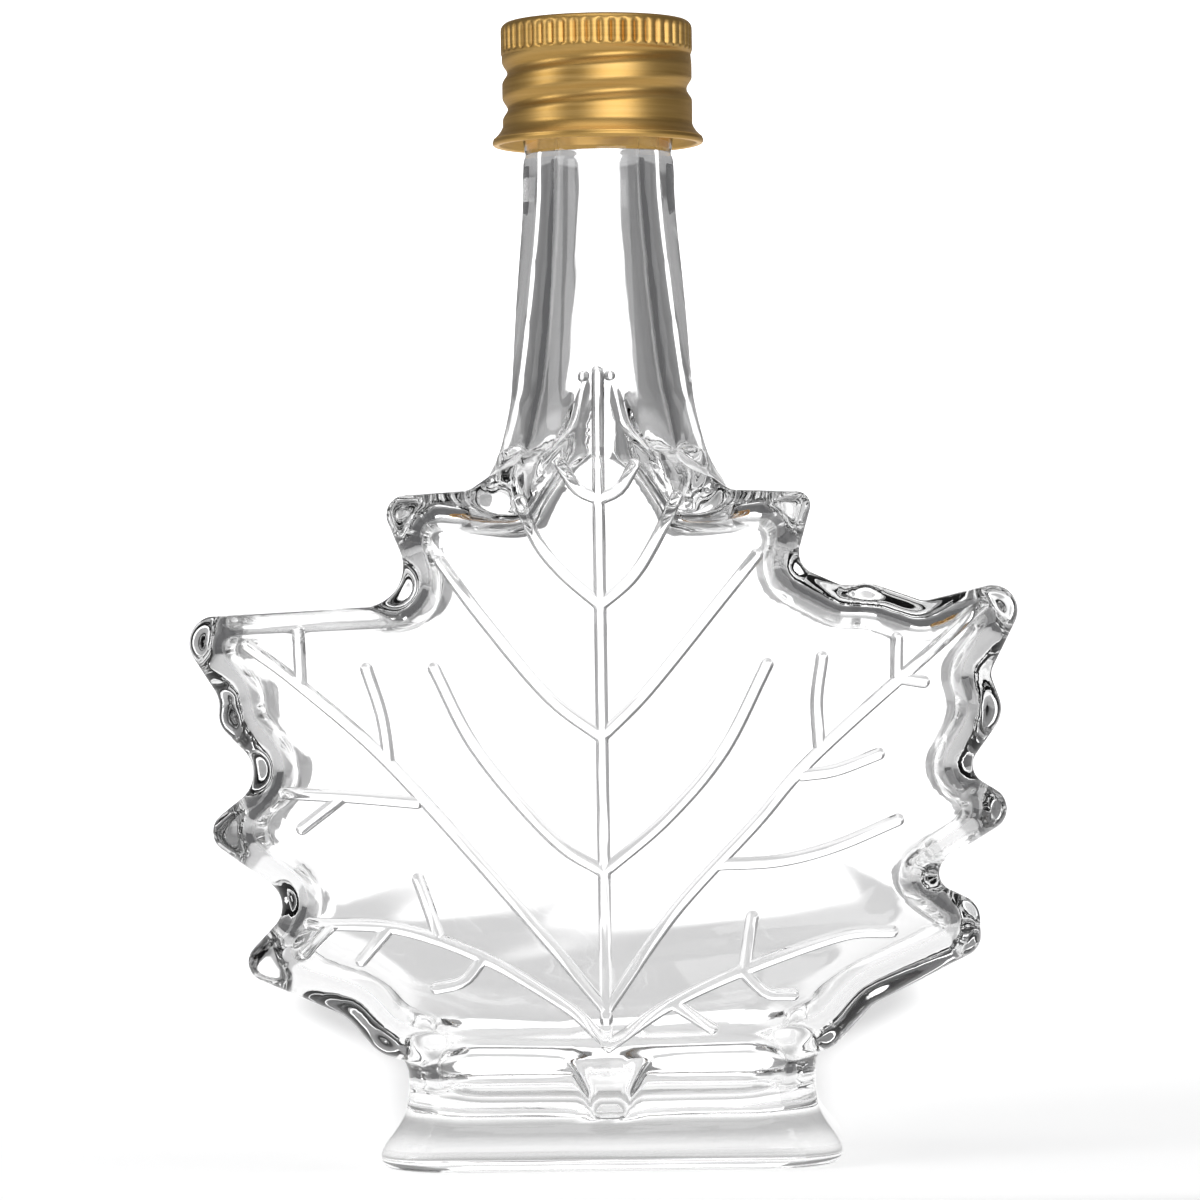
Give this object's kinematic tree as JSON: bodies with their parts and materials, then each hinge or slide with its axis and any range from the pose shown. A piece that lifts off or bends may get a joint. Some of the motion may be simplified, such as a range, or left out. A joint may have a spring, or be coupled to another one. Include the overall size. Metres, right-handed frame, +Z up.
{
  "type": "maple leaf bottle",
  "caption": "Clear glass bottle for syrup, with a flat body shaped like a veined maple leaf, a tapered neck, an oblong foot and a gold screw cap.",
  "frame": {"origin": "centre of the underside of the foot, on the ground", "axes": "+Z up the neck, +X across the leaf, -Y out of the face of the leaf that has the veins"},
  "size_m": [0.0961, 0.034, 0.134],
  "materials": {
    "glass": "clear, smooth, slightly wavy moulded glass",
    "gold": "satin gold anodised aluminium"
  },
  "bodies": {
    "root": {"bottle": "glass", "cap": "gold"}
  },
  "joints": []
}
